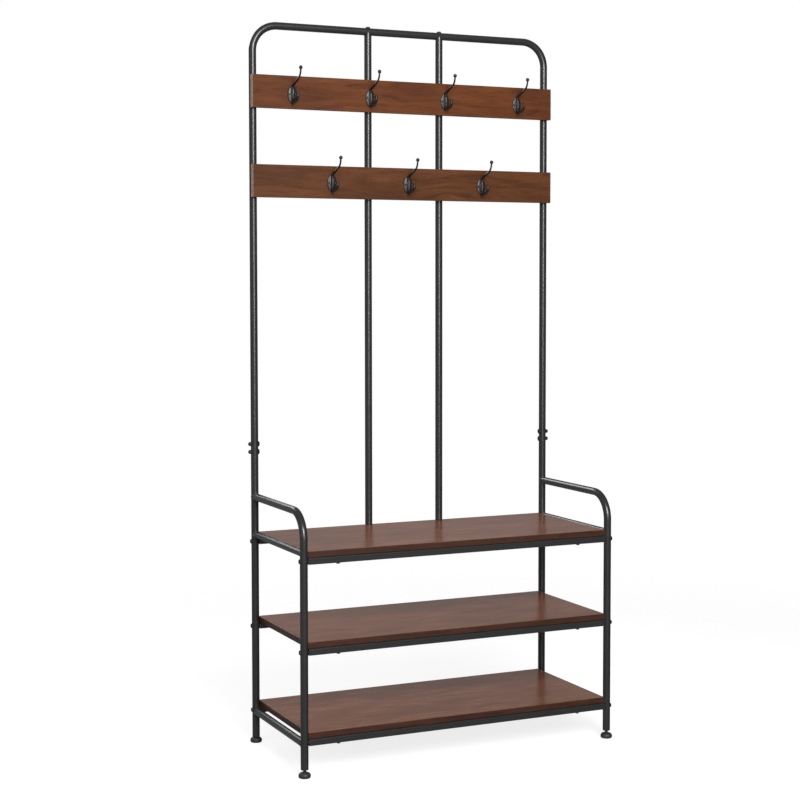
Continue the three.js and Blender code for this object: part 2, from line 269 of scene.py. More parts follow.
def loft(bm, line, stations, closed=False, paint=0):
    """Joins sections along a line. A station is (distance, points), or (distance, None) for a
    point on the line itself. A closed loft joins its last section to its first, and an open
    one is capped where it doesn't end in a point."""
    rings = []
    for distance, section in stations:
        place, side, up = line.at(distance)
        around = section if section else [(0, 0)]
        rings.append([bm.verts.new(place + side * u + up * v) for u, v in around])
    pairs = list(zip(rings, rings[1:]))
    if closed:
        pairs.append((rings[-1], rings[0]))
    faces = []
    for a, b in pairs:
        for k in range(ROUND):
            n = (k + 1) % ROUND
            corners = [a[k % len(a)], a[n % len(a)], b[n % len(b)], b[k % len(b)]]
            faces.append(bm.faces.new(list(dict.fromkeys(corners))))
    if not closed:
        faces += [bm.faces.new(ring) for ring in (rings[0], rings[-1]) if len(ring) > 1]
    for face in faces:
        face.material_index = paint


def quarter(start, end, steps=6):
    """Points on a quarter of an ellipse between two (radius, distance) points, which leaves
    the first one straight along the distance."""
    angles = [math.pi / 2 * k / steps for k in range(steps + 1)]
    (r0, d0), (r1, d1) = start, end
    return [(r1 + (r0 - r1) * math.cos(a), d0 + (d1 - d0) * math.sin(a)) for a in angles]


def turned(bm, line, profile, section=circle, closed=False):
    """A body turned from (radius, distance) points."""
    loft(bm, line, [(d, section(r) if r > 0 else None) for r, d in profile], closed)


def tube(bm, line, low, high, r, marks=()):
    """A tube with rounded ends, with stations at the given marks. Stations close to the ends
    keep the wear and the painted highlight of the rims from spreading along the tube."""
    inside = r - WALL
    outer = quarter((r, low + RIM), (r - RIM, low), 3)[::-1]
    outer += [(r, m) for m in (low + RIM + RIM_WEAR_AND_HIGHLIGHT, *marks, high - RIM - RIM_WEAR_AND_HIGHLIGHT)]
    outer += quarter((r, high - RIM), (r - RIM, high), 3)
    inner = [(inside, high)] + [(inside, m) for m in reversed(marks)] + [(inside, low)]
    turned(bm, line, outer + inner, closed=True)


def spigot_tube(bm, line, low, shoulder, high, r):
    """A tube that ends in a narrower spigot, which fits inside the next tube."""
    spigot = r - WALL - SPIGOT_GAP
    profile = quarter((r, low + RIM), (r - RIM, low), 3)[::-1]
    profile += [(r, low + RIM + RIM_WEAR_AND_HIGHLIGHT), (r, shoulder - RIM - RIM_WEAR_AND_HIGHLIGHT)]
    profile += quarter((r, shoulder - RIM), (r - RIM, shoulder), 3)
    profile += [(spigot, shoulder), (spigot, high), (spigot - WALL, high)]
    profile += [(spigot - WALL, shoulder - RIM), (r - WALL, shoulder - 4 * WALL), (r - WALL, low)]
    turned(bm, line, profile, closed=True)


def weld(bm, points, middle, seed):
    """A rippled bead of weld along a closed ring of points round a middle."""
    rng = random.Random(seed)
    phase = rng.uniform(0, 2 * math.pi)
    count = len(points)
    length = sum((points[k] - points[k - 1]).length for k in range(count))
    ripples = round(length / WELD_PITCH)
    sides = 10
    rings = []
    for k, point in enumerate(points):
        along = (points[(k + 1) % count] - points[k - 1]).normalized()
        out = point - middle
        out = (out - along * out.dot(along)).normalized()
        other = along.cross(out)
        wave = abs(math.sin(math.pi * ripples * k / count + phase))
        r = WELD_R * (0.8 + 0.2 * wave + rng.uniform(-0.04, 0.04))
        turns = [2 * math.pi * j / sides for j in range(sides)]
        spokes = [out * r * math.cos(a) + other * r * math.sin(a) for a in turns]
        rings.append([bm.verts.new(point + spoke) for spoke in spokes])
    for k in range(count):
        a, b = rings[k - 1], rings[k]
        for j in range(sides):
            bm.faces.new((a[j], a[(j + 1) % sides], b[(j + 1) % sides], b[j]))


def saddle(post, rail_r, post_r, height, toward, count=132):
    """Points where a round rail that runs along Y meets an upright post."""
    points = []
    for k in range(count):
        a = 2 * math.pi * k / count
        across = rail_r * math.cos(a)
        out = math.sqrt(max(post_r ** 2 - across ** 2, 0))
        up = height + rail_r * math.sin(a)
        points.append(Vector((post.x + across, post.y + toward * out, up)))
    return points


def button_head(bm, line, r, start, t, recess=hexagon, size=SOCKET):
    """A domed head with a recess, from where it starts to its top, as a closed body."""
    deep = start + t - size["depth"]
    crown = quarter((r, start + 0.25 * t), (size["r"] * 1.3, start + t))
    stations = [(start, None), (start, circle(r * 0.94))]
    stations += [(d, circle(rr)) for rr, d in [(r, start + 0.06 * t)] + crown]
    stations += [(start + t, recess(size["r"] * 1.08)), (start + t - 0.1 * MM, recess(size["r"]))]
    stations += [(deep, recess(size["r"] * 0.92)), (deep - 0.3 * MM, None)]
    loft(bm, line, stations)


def shank(bm, line, start, end, r):
    turned(bm, line, [(0, start), (r, start), (r, end), (0, end)])


def piece(bm, name, looks, body="frame", replaces=(), sharp=PIECE_SHARP):
    """Makes an object of a mesh, hangs it on the body that it rides on, and hides the parts that it
    stands in for.
    """
    bmesh.ops.recalc_face_normals(bm, faces=bm.faces)
    mesh = bpy.data.meshes.new(name)
    bm.to_mesh(mesh)
    bm.free()
    thing = mesh_piece(mesh, name, looks, body, replaces, sharp)
    flat = thing.modifiers.new("long faces stay flat", "WEIGHTED_NORMAL")
    flat.keep_sharp = True


def mesh_piece(mesh, name, looks, body="frame", replaces=(), sharp=PIECE_SHARP):
    for face in mesh.polygons:
        face.use_smooth = True
    mesh.set_sharp_from_angle(angle=math.radians(sharp))
    for look in looks:
        mesh.materials.append(look)
    thing = bpy.data.objects.new(name, mesh)
    bpy.context.scene.collection.objects.link(thing)
    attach(thing, body)
    if replaces:
        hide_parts(*replaces)
    return thing


# --- Materials ----------------------------------------------------------------------------

# Places of the factor and of the two colours among a Mix node's inputs, and of its colour result
MIX_COLOUR_SOCKETS = (0, 6, 7)
MIX_COLOUR_RESULT = 2


class Nodes:
    """A short way to write a material's nodes."""

    def __init__(self, name):
        self.material = bpy.data.materials.new(name)
        self.material.use_nodes = True
        self.tree = self.material.node_tree
        self.shader = self.tree.nodes["Principled BSDF"]

    def add(self, kind, inputs=None, **settings):
        node = self.tree.nodes.new("ShaderNode" + kind)
        for key, value in settings.items():
            setattr(node, key, value)
        for key, value in (inputs or {}).items():
            self.set(node.inputs[key], value)
        return node

    def set(self, socket, value):
        if isinstance(value, bpy.types.NodeSocket):
            self.tree.links.new(value, socket)
        else:
            socket.default_value = value

    def scaled(self, where, scale):
        return self.add("Mapping", {"Vector": where, "Scale": scale}).outputs["Vector"]

    def place(self, scale=(1, 1, 1)):
        """Object coordinates in metres, scaled."""
        return self.scaled(self.add("TexCoord").outputs["Object"], scale)

    def noise(self, where, scale, detail=4, roughness=0.5, distortion=0):
        node = self.add("TexNoise", {
            "Vector": where, "Scale": scale, "Detail": detail,
            "Roughness": roughness, "Distortion": distortion,
        })
        return node.outputs["Fac"]

    def ramp(self, value, *stops, ease="LINEAR"):
        """A ramp of (place, value) or (place, colour) stops."""
        node = self.add("ValToRGB", {"Fac": value})
        node.color_ramp.interpolation = ease
        elements = node.color_ramp.elements
        while len(elements) < len(stops):
            elements.new(0.5)
        for element, (at, colour) in zip(elements, stops):
            element.position = at
            grey = isinstance(colour, (int, float))
            element.color = (colour, colour, colour, 1) if grey else (*colour, 1)
        return node.outputs["Color"]

    def mix(self, amount, a, b):
        node = self.add("Mix", data_type="RGBA")
        sockets = [node.inputs[k] for k in MIX_COLOUR_SOCKETS]
        for socket, value in zip(sockets, (amount, a, b)):
            if isinstance(value, tuple):
                value = (*value, 1)
            self.set(socket, value)
        return node.outputs[MIX_COLOUR_RESULT]

    def maths(self, kind, a, b):
        node = self.add("Math", operation=kind)
        self.set(node.inputs[0], a)
        self.set(node.inputs[1], b)
        return node.outputs[0]

    def bump(self, height, strength, distance, under=None):
        node = self.add("Bump", {"Height": height, "Strength": strength, "Distance": distance})
        if under:
            self.set(node.inputs["Normal"], under)
        return node.outputs["Normal"]


def linear(*colour):
    """A colour given as it shows on screen, 0 to 255, as linear light."""
    parts = [c / 255 for c in colour]
    return tuple(c / 12.92 if c <= 0.04045 else ((c + 0.055) / 1.055) ** 2.4 for c in parts)


def connect(n, colour, roughness, normal, specular, metallic=0.0):
    shader = n.shader.inputs
    n.set(shader["Base Color"], colour)
    n.set(shader["Roughness"], roughness)
    n.set(shader["Normal"], normal)
    shader["Specular IOR Level"].default_value = specular
    shader["Metallic"].default_value = metallic
    return n.material


def powder_coat():
    """Charcoal black powder coat: a fine orange peel, sparse lighter specks, and worn edges lightened
    further as a painted highlight.
    """
    n = Nodes("powder_coat")
    here = n.place()
    peel = n.noise(here, 900, detail=3, roughness=0.6)
    cloud = n.noise(here, 14, detail=3)
    speck = n.ramp(n.noise(here, 2600, detail=1), (0.66, 0.0), (0.74, 1.0))
    base = n.mix(cloud, linear(26, 26, 27), linear(33, 33, 34))
    base = n.mix(n.maths("MULTIPLY", speck, 0.35), base, linear(92, 92, 94))
    # Lighter edges: partly wear, partly a painted highlight along the tubes' rims.
    edge = n.ramp(n.add("NewGeometry").outputs["Pointiness"], (0.53, 0.0), (0.62, 1.0))
    rim_wear_and_highlight = n.maths("MULTIPLY", edge, n.ramp(n.noise(here, 260, detail=5), (0.42, 0.0), (0.62, 0.7)))
    base = n.mix(rim_wear_and_highlight, base, linear(128, 126, 122))
    rough = n.ramp(n.noise(here, 55, detail=4), (0.3, 0.28), (0.7, 0.31))
    normal = n.bump(peel, 0.2, 0.00003)
    return connect(n, base, rough, normal, 0.5)


def black_oxide():
    """Black fasteners: satin metal with fine turning marks and bright worn corners."""
    n = Nodes("black_oxide")
    here = n.place()
    marks = n.noise(n.place(scale=(1, 1, 5)), 700, detail=4)
    base = n.mix(n.noise(here, 120), linear(34, 34, 36), linear(50, 49, 49))
    edge = n.ramp(n.add("NewGeometry").outputs["Pointiness"], (0.54, 0.0), (0.66, 0.8))
    base = n.mix(edge, base, linear(120, 118, 114))
    rough = n.ramp(n.noise(here, 300), (0.3, 0.3), (0.7, 0.46))
    return connect(n, base, rough, n.bump(marks, 0.2, 0.00008), 0.5, metallic=0.55)


def cast_metal():
    """Cast hooks: a dark bronze black coat over slightly grainy castings."""
    n = Nodes("cast_metal")
    here = n.place()
    grain = n.noise(here, 650, detail=5, roughness=0.65)
    lumps = n.noise(here, 110, detail=3)
    base = n.mix(lumps, linear(28, 26, 26), linear(46, 42, 40))
    edge = n.ramp(n.add("NewGeometry").outputs["Pointiness"], (0.52, 0.0), (0.64, 0.75))
    base = n.mix(edge, base, linear(104, 90, 78))
    rough = n.ramp(grain, (0.3, 0.34), (0.7, 0.5))
    normal = n.bump(grain, 0.25, 0.0002, n.bump(lumps, 0.2, 0.0006))
    return connect(n, base, rough, normal, 0.5, metallic=0.45)


def plastic():
    """Black moulded plastic: a fine spark-eroded texture."""
    n = Nodes("plastic")
    here = n.place()
    texture = n.noise(here, 1500, detail=2)
    base = n.mix(n.noise(here, 60), linear(33, 33, 34), linear(44, 44, 44))
    rough = n.ramp(n.noise(here, 200), (0.3, 0.45), (0.7, 0.6))
    return connect(n, base, rough, n.bump(texture, 0.3, 0.0001), 0.4)


def wood(name, colours, roughness, seed, along=(1.0, 9.0, 9.0), specular=0.5):
    """Wood grain laminate with its grain along X: broad bands, fine pores, knots and blotches.
    colours are the darkest, the middle and the lightest tone on screen."""
    dark, middle, light = [linear(*c) for c in colours]
    n = Nodes(name)
    away = (seed * 3.1, seed * 1.7, seed * 2.3)
    offset = n.add("Mapping", {"Vector": n.place(), "Location": away})
    here = offset.outputs["Vector"]
    slow = n.scaled(here, (2.2, 7.0, 7.0))
    bend = n.add("TexNoise", {"Vector": slow, "Scale": 1.6, "Detail": 2.0}).outputs["Color"]
    bent = n.mix(0.06, here, bend)
    bands = n.noise(n.scaled(bent, along), 9, detail=6, roughness=0.62, distortion=0.6)
    fibres = n.noise(n.scaled(bent, (10, 420, 420)), 1, detail=3)
    pores = n.noise(n.scaled(bent, (45, 1500, 1500)), 1, detail=2)
    blotch = n.noise(n.scaled(here, (4, 11, 11)), 1.3, detail=3)
    cells = n.add("TexVoronoi", {"Vector": n.scaled(bent, (7, 17, 17)), "Scale": 1.0})
    knots = cells.outputs["Distance"]
    base = n.ramp(bands, (0.28, dark), (0.5, middle), (0.74, light))
    base = n.mix(n.ramp(blotch, (0.42, 0.0), (0.68, 0.55)), base, dark)
    base = n.mix(n.ramp(fibres, (0.36, 0.35), (0.5, 0.0)), base, dark)
    base = n.mix(n.ramp(pores, (0.3, 0.5), (0.42, 0.0)), base, dark)
    base = n.mix(n.ramp(knots, (0.02, 0.75), (0.09, 0.0)), base, tuple(c * 0.45 for c in dark))
    rough = n.ramp(fibres, (0.3, roughness * 1.12), (0.7, roughness * 0.92))
    normal = n.bump(pores, 0.12, 0.00005, n.bump(fibres, 0.1, 0.0001))
    return connect(n, base, rough, normal, specular)


def edge_band(name, colours, roughness):
    """The thin band on a board's end: paler and mottled."""
    n = Nodes(name)
    streaks = n.noise(n.place(scale=(60, 60, 60)), 1.5, detail=5, roughness=0.7)
    fine = n.noise(n.place(), 1400, detail=2)
    base = n.ramp(streaks, (0.3, linear(*colours[0])), (0.7, linear(*colours[1])))
    rough = n.ramp(fine, (0.3, roughness), (0.7, roughness + 0.12))
    return connect(n, base, rough, n.bump(fine, 0.15, 0.0001), 0.4)


STEEL = powder_coat()
BLACK = black_oxide()
CAST = cast_metal()
PLASTIC = plastic()
SHELF_COLOURS = ((89, 48, 29), (120, 73, 49), (137, 90, 64))
# The lower board's tones are a little darker than the upper's: painted shade for the light that falls
# off lower down.
HOOK_COLOURS_LOWER_SHADED = {
    "upper": ((60, 30, 14), (86, 47, 23), (98, 55, 29)),
    "lower": ((56, 30, 15), (79, 46, 25), (90, 54, 31)),
}
SHELF_WOOD = {
    level: wood(f"shelf_wood_{level}", SHELF_COLOURS, 0.24, seed, specular=0.42)
    for seed, level in enumerate(LEVELS, 1)
}
# The edges and ends are the faces' wood in much darker tones: painted shade.
SHELF_EDGE_SHADED = wood("shelf_edge_shaded", ((40, 21, 13), (55, 31, 20), (65, 39, 25)), 0.42, 5, specular=0.25)
HOOK_WOOD = {
    row: wood(f"hook_wood_{row}", colours, 0.5, seed, along=(0.8, 8.0, 8.0), specular=0.1)
    for seed, (row, colours) in enumerate(HOOK_COLOURS_LOWER_SHADED.items(), 7)
}
HOOK_EDGE = wood("hook_edge", ((58, 34, 25), (92, 56, 40), (106, 66, 48)), 0.5, 11)
HOOK_END = edge_band("hook_board_end", ((112, 96, 86), (142, 123, 112)), 0.4)


# --- Steel frame --------------------------------------------------------------------------

POST_R = half_size("rear_post_left").x
JOINT_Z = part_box("back_post_left")[0].z
ARCH_JOINT_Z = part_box("top_arch")[0].z
MID_JOINT_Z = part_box("mid_post_upper_left")[0].z


def upright(name, node, shoulder=None):
    """An upright tube in the place of a CAD tube, with a spigot over the shoulder."""
    low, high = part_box(node)
    axis = centre(node)
    line = Straight((axis.x, axis.y, 0), Z, X)
    bm = bmesh.new()
    if shoulder is None:
        tube(bm, line, low.z, high.z, POST_R)
    else:
        spigot_tube(bm, line, low.z, shoulder, high.z, POST_R)
    piece(bm, name, [STEEL], replaces=[node])


def arm_tube(side):
    """The front post, which bends back at the top into the armrest."""
    node = f"arm_tube_{side}"
    low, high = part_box(node)
    axis = centre(node)
    front, back = low.y + POST_R, centre(f"rear_post_{side}").y
    arm_z = high.z - POST_R
    line = Bent([(axis.x, front, low.z), (axis.x, front, arm_z), (axis.x, back - POST_R * 0.9, arm_z)],
                BEND_R, X)
    bm = bmesh.new()
    tube(bm, line, 0, line.length, POST_R, marks=line.marks)
    piece(bm, f"front_post_and_armrest_{side}", [STEEL], replaces=[node])


def side_rail(name, node):
    """A round rail between the front and rear posts, its ends hidden in the posts' sides."""
    low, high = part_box(node)
    axis = centre(node)
    r = (high.z - low.z) / 2
    line = Straight((axis.x, 0, axis.z), Y, X)
    reach = half_size(node).y
    bm = bmesh.new()
    tube(bm, line, -reach, reach, r)
    piece(bm, name, [STEEL], replaces=[node])
    return r


def side_welds(side, rails):
    """Weld beads where the rails and the armrest meet the posts of one side frame."""
    rear = centre(f"rear_post_{side}")
    front = Vector((rear.x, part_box(f"arm_tube_{side}")[0].y + POST_R, 0))
    bm = bmesh.new()
    arm_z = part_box(f"arm_tube_{side}")[1].z - POST_R
    beads = [(rear, -1, arm_z, POST_R)]
    for node, r in rails.items():
        height = centre(node).z
        beads += [(rear, -1, height, r), (front, 1, height, r)]
    for seed, (post, toward, height, r) in enumerate(beads):
        ring = saddle(post, r, POST_R, height, toward)
        middle = Vector((post.x, post.y + toward * POST_R, height))
        weld(bm, ring, middle, seed)
    piece(bm, f"side_frame_welds_{side}", [STEEL], sharp=WELD_SHARP)


def top_arch():
    low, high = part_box("top_arch")
    y = centre("top_arch").y
    left, right, top = low.x + POST_R, high.x - POST_R, high.z - POST_R
    line = Bent([(left, y, low.z), (left, y, top), (right, y, top), (right, y, low.z)], BEND_R, Y)
    bm = bmesh.new()
    tube(bm, line, 0, line.length, POST_R, marks=line.marks)
    piece(bm, "top_arch_tube", [STEEL], replaces=["top_arch"])


def cross_rail(level, place):
    """A square rail under a board, open at both ends, with a nut plate inside each end."""
    node = f"{level}_rail_{place}"
    low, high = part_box(node)
    middle = centre(node)
    half = (high.z - low.z) / 2
    line = Straight((0, middle.y, middle.z), X, Y)
    hollow = half - WALL
    ends = [(RIM, 0), (0, RIM), (0, RIM + RIM_WEAR_AND_HIGHLIGHT)]
    cuts = [(cut, low.x + d) for cut, d in ends] + [(cut, high.x - d) for cut, d in reversed(ends)]
    outside = [(d, rounded_box(half - cut, half - cut, RAIL_CORNER)) for cut, d in cuts]
    inside = [(d, rounded_box(hollow, hollow, RAIL_CORNER - WALL)) for d in (high.x, low.x)]
    bm = bmesh.new()
    loft(bm, line, outside + inside, closed=True)
    t = NUT_PLATE["t"]
    for end in (low.x + NUT_PLATE["inset"], high.x - NUT_PLATE["inset"] - t):
        plate = rounded_box(hollow, hollow, RAIL_CORNER - WALL)
        hole = circle(NUT_PLATE["hole_r"])
        stations = [(end, plate), (end + t, plate), (end + t, hole), (end, hole)]
        loft(bm, line, stations, closed=True)
    piece(bm, f"{node}_tube", [STEEL], replaces=[node])


for side in SIDES:
    upright(f"rear_post_{side}_tube", f"rear_post_{side}", JOINT_Z)
    upright(f"back_post_{side}_tube", f"back_post_{side}", ARCH_JOINT_Z)
    upright(f"mid_post_lower_{side}_tube", f"mid_post_lower_{side}", MID_JOINT_Z)
    upright(f"mid_post_upper_{side}_tube", f"mid_post_upper_{side}")
    arm_tube(side)
    radii = {f"{name}_{side}": side_rail(f"{name}_{side}_tube", f"{name}_{side}")
             for name in ("seat_side_rail", "base_side_rail")}
    side_welds(side, radii)
top_arch()
for level in LEVELS:
    for place in PLACES:
        cross_rail(level, place)


# --- Boards -------------------------------------------------------------------------------

def board(name, node, looks, up, outline):
    """A board with rounded edges and a fine seam round its face. up is the way that its face
    looks, outline(half size, inset) gives the points round it, and looks are the materials of
    the face, the long edges and the short ends."""
    middle, half = centre(node), half_size(node)
    half_t = abs(half.dot(up))
    line = Straight(middle, up, X)
    seam = BOARD_SEAM
    rim = quarter((0, half_t - BOARD_EDGE), (BOARD_EDGE, half_t), 5)
    profile = [(inset, -d) for inset, d in reversed(rim)] + rim
    profile += [(BOARD_EDGE + seam, half_t - seam), (BOARD_EDGE + 2 * seam, half_t)]
    stations = [(d, outline(half, inset)) for inset, d in profile]
    bm = bmesh.new()
    loft(bm, line, stations)
    bmesh.ops.recalc_face_normals(bm, faces=bm.faces)
    for face in bm.faces:
        facing = face.normal
        if abs(facing.dot(up)) > 0.8:
            face.material_index = 0
        else:
            face.material_index = 2 if abs(facing.x) > 0.7 else 1
    piece(bm, name, looks, replaces=[node], sharp=BOARD_SHARP)


def shelf_outline(half, inset):
    post = centre("rear_post_right")
    return hollowed_box(half.x, half.y, inset, (post.x, post.y), POST_R + POST_GAP)


def hook_board_outline(half, inset):
    return rounded_box(half.x - inset, half.z - inset, max(BOARD_CORNER - inset, 0.2 * MM))


for level, node in BOARDS.items():
    looks = [SHELF_WOOD[level], SHELF_EDGE_SHADED, SHELF_EDGE_SHADED]
    board(f"{node}_panel", node, looks, Z, shelf_outline)
for row, look in HOOK_WOOD.items():
    node = f"{row}_hook_board"
    looks = [look, HOOK_EDGE, HOOK_END]
    board(f"{node}_panel", node, looks, -Y, hook_board_outline)


# --- Hooks --------------------------------------------------------------------------------

PLATE = {"half_w": 12.5 * MM, "half_h": 22 * MM, "t": 4.2 * MM}
# A hook's limbs: the middle line as (distance out, height) in millimetres, the radii along it and
# how far the section is stretched
LIMBS = (
    ([(3, -19.5), (7, -12), (7.6, 0), (6.8, 10), (3.5, 19.5)],
     [2.4, 4.4, 4.3, 4.2, 3.0], 0.9),
    ([(3, 15), (8, 21.5), (20, 26.5), (35, 31.5), (50, 38.5), (58, 47), (61, 58)],
     [3.6, 3.2, 2.7, 2.4, 2.2], 1.0),
    ([(4, -12), (9, -19), (18, -20.5), (29, -18), (38, -12.5), (42, -7), (40.5, -2)],
     [3.2, 4.4, 4.2, 3.8, 3.2], 0.78),
)
LIMB_STEPS = 40
BALLS = ((4.75, 61, 61), (3.9, 40, -1))  # radius, distance out and height, in millimetres
CASTING_GRAIN = 0.55 * MM  # size of the casting's mesh


def casting():
    """One hook, with its plate's middle at the origin and its back at y = 0. Its parts are
    melted together, so that they meet in soft fillets as in a casting."""
    bm = bmesh.new()
    out = Straight((0, 0, 0), -Y, X)
    stretch = PLATE["half_h"] / PLATE["half_w"]
    dome = quarter((PLATE["half_w"], 1.3 * MM), (0, PLATE["t"]), 8)
    turned(bm, out, [(0, 0), (PLATE["half_w"], 0)] + dome, section=lambda r: circle(r, stretch))

    for points, radii, squash in LIMBS:
        line = Smooth([(0, -o * MM, z * MM) for o, z in points], X)
        stations = []
        for k in range(LIMB_STEPS + 1):
            t = k / LIMB_STEPS
            span = t * (len(radii) - 1)
            i = min(int(span), len(radii) - 2)
            r = (radii[i] + (radii[i + 1] - radii[i]) * (span - i)) * MM
            stations.append((t, circle(r, squash)))
        loft(bm, line, stations)
    for r, o, z in BALLS:
        place = Matrix.Translation((0, -o * MM, z * MM))
        bmesh.ops.create_icosphere(bm, subdivisions=4, radius=r * MM, matrix=place)
    bmesh.ops.recalc_face_normals(bm, faces=bm.faces)
    raw = bpy.data.meshes.new("casting")
    bm.to_mesh(raw)
    bm.free()
    holder = bpy.data.objects.new("casting_holder", raw)
    bpy.context.scene.collection.objects.link(holder)
    melt = holder.modifiers.new("melt", "REMESH")
    melt.mode = "VOXEL"
    melt.voxel_size = CASTING_GRAIN
    soft = holder.modifiers.new("soft", "SMOOTH")
    soft.factor = 0.5
    soft.iterations = 6
    view = bpy.context.evaluated_depsgraph_get()
    mesh = bpy.data.meshes.new_from_object(holder.evaluated_get(view))
    bpy.data.objects.remove(holder)
    return mesh


def plate_middle_z(node):
    """Height of a hook's plate middle, from the top of its upper ball."""
    r, _, z = BALLS[0]
    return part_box(node)[1].z - (z + r) * MM


def hooks():
    mesh = casting()
    for row, count in (("upper", 4), ("lower", 3)):
        for i in range(1, count + 1):
            node = f"{row}_hook_{i}"
            low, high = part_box(node)
            place = Vector(((low.x + high.x) / 2, high.y, plate_middle_z(node)))
            copy = mesh.copy()
            copy.transform(Matrix.Translation(place))
            mesh_piece(copy, f"{node}_casting", [CAST], replaces=[node], sharp=CAST_SHARP)
            bm = bmesh.new()
            for across in (-HOOK_SCREW["x"], HOOK_SCREW["x"]):
                line = Straight(place + Vector((across, 0, 0)), -Y, X)
                shank(bm, line, HOOK_SCREW["start"], HOOK_SCREW["end"], HOOK_SCREW["r"])
                button_head(bm, line, HOOK_HEAD["r"], HOOK_SCREW["head"], HOOK_HEAD["t"],
                            recess=cross, size=HOOK_CROSS)
            piece(bm, f"{node}_screws", [BLACK])


hooks()


# --- Fasteners ----------------------------------------------------------------------------

def rail_bolts():
    """Button head bolts through the posts into the rails' nut plates."""
    for side, sign in (("left", -1), ("right", 1)):
        for level in LEVELS:
            for place in PLACES:
                node = f"{level}_bolt_{place}_{side}"
                low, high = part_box(node)
                middle = centre(node)
                r = (high.z - low.z) / 2
                outer = high.x if sign > 0 else -low.x
                inner = low.x if sign > 0 else -high.x
                line = Straight((0, middle.y, middle.z), X * sign, Y)
                head = outer - RAIL_HEAD_T
                bm = bmesh.new()
                shank(bm, line, inner, head + IN_HEAD, M6_R)
                button_head(bm, line, r, head, RAIL_HEAD_T)
                piece(bm, f"{node}_metal", [BLACK], replaces=[node])


def joint_bolts():
    """Bolts through the posts' plug-in joints: a button head inside and a domed cap nut outside."""
    for side, sign in (("left", -1), ("right", 1)):
        post = centre(f"rear_post_{side}")
        for i in (1, 2):
            node = f"post_joint_bolt_{side}_{i}"
            low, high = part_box(node)
            z = centre(node).z
            line = Straight((post.x, post.y, z), X * sign, Y)
            tip = max(abs(low.x), abs(high.x)) - abs(post.x)
            start = POST_R + JOINT_GAP
            bm = bmesh.new()
            shank(bm, line, -start, start, M6_R)
            inward = Straight((post.x, post.y, z), X * -sign, Y)
            button_head(bm, inward, JOINT_HEAD["r"], start, JOINT_HEAD["t"])
            nut = CAP_NUT_R
            stations = [(start, None), (start, hexagon(nut * 0.95)), (start + 0.4 * MM, hexagon(nut)),
                        (start + 3.4 * MM, hexagon(nut)), (start + 3.9 * MM, circle(nut * 0.86))]
            dome = quarter((nut * 0.84, start + 4.2 * MM), (0, tip), 8)
            stations += [(d, circle(r)) for r, d in dome[:-1]] + [(tip, None)]
            loft(bm, line, stations)
            piece(bm, f"{node}_metal", [BLACK], replaces=[node])


def top_screws():
    for side in SIDES:
        node = f"top_screw_{side}"
        low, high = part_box(node)
        middle = centre(node)
        line = Straight((middle.x, middle.y, 0), Z, X)
        bm = bmesh.new()
        head = high.z - TOP_HEAD["t"]
        shank(bm, line, low.z, head + IN_HEAD, M6_R)
        button_head(bm, line, TOP_HEAD["r"], head, TOP_HEAD["t"])
        piece(bm, f"{node}_metal", [BLACK], replaces=[node])


def board_screws():
    """Screws with cross recesses through the rails into the boards, and bolts with hexagon sockets
    up through the rear seat rail into the middle posts."""
    for level in LEVELS:
        for place in PLACES:
            rail = f"{level}_rail_{place}"
            middle, bottom = centre(rail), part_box(rail)[0].z
            bm = bmesh.new()
            for x in (-BOARD_SCREW["x"], BOARD_SCREW["x"]):
                line = Straight((x, middle.y, bottom), -Z, X)
                button_head(bm, line, BOARD_HEAD["r"], -HEAD_SEAT, BOARD_HEAD["t"],
                            recess=cross, size=BOARD_CROSS)
                shank(bm, line, -BOARD_SCREW["l"], SHANK_PAST, BOARD_SCREW["r"])
            piece(bm, f"{rail}_screws", [BLACK])
    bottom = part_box("seat_rail_rear")[0].z
    for side in SIDES:
        post = centre(f"mid_post_lower_{side}")
        line = Straight((post.x, post.y, bottom), -Z, X)
        bm = bmesh.new()
        button_head(bm, line, MID_POST_HEAD["r"], -HEAD_SEAT, MID_POST_HEAD["t"])
        shank(bm, line, -MID_POST_SCREW_L, SHANK_PAST, M6_R)
        piece(bm, f"mid_post_screw_{side}", [BLACK])


def hook_board_bolts():
    """Button head bolts from behind, through the four uprights into each hook board."""
    behind = centre("top_arch").y + POST_R
    posts = [centre(f"{kind}_{side}").x for side in SIDES for kind in ("back_post", "mid_post_upper")]
    for row in ("upper", "lower"):
        z = centre(f"{row}_hook_board").z
        bm = bmesh.new()
        for x in posts:
            line = Straight((x, behind, z), Y, X)
            shank(bm, line, -HOOK_BOARD_BOLT["l"], SHANK_PAST, HOOK_BOARD_BOLT["r"])
            button_head(bm, line, HOOK_BOARD_HEAD["r"], -HOOK_BOARD_BOLT["sunk"],
                        HOOK_BOARD_HEAD["t"])
        piece(bm, f"{row}_hook_board_bolts", [BLACK])


rail_bolts()
joint_bolts()
top_screws()
board_screws()
hook_board_bolts()


# --- Feet ---------------------------------------------------------------------------------

# A foot's pad, from its sole up, and the stud that is moulded into it
PAD = {"base_r": 12.4 * MM, "rim_z": 5.5 * MM, "neck_r": 5.6 * MM, "top": 14.2 * MM}
STUD = {"r": 4 * MM, "in_pad": 1 * MM}
INSERT = {"bore_r": 4.3 * MM, "ribs": 4, "chamfer": 0.4 * MM}


def threaded(r):
    """The section of a thread: circles whose radius changes round and along the stud."""
    def ring(distance):
        points = []
        for k in range(ROUND):
            a = 2 * math.pi * k / ROUND
            phase = (distance / THREAD["pitch"] - k / ROUND) % 1
            reach = r - THREAD["depth"] * abs(2 * phase - 1)
            points.append((reach * math.cos(a), reach * math.sin(a)))
        return points
    return ring


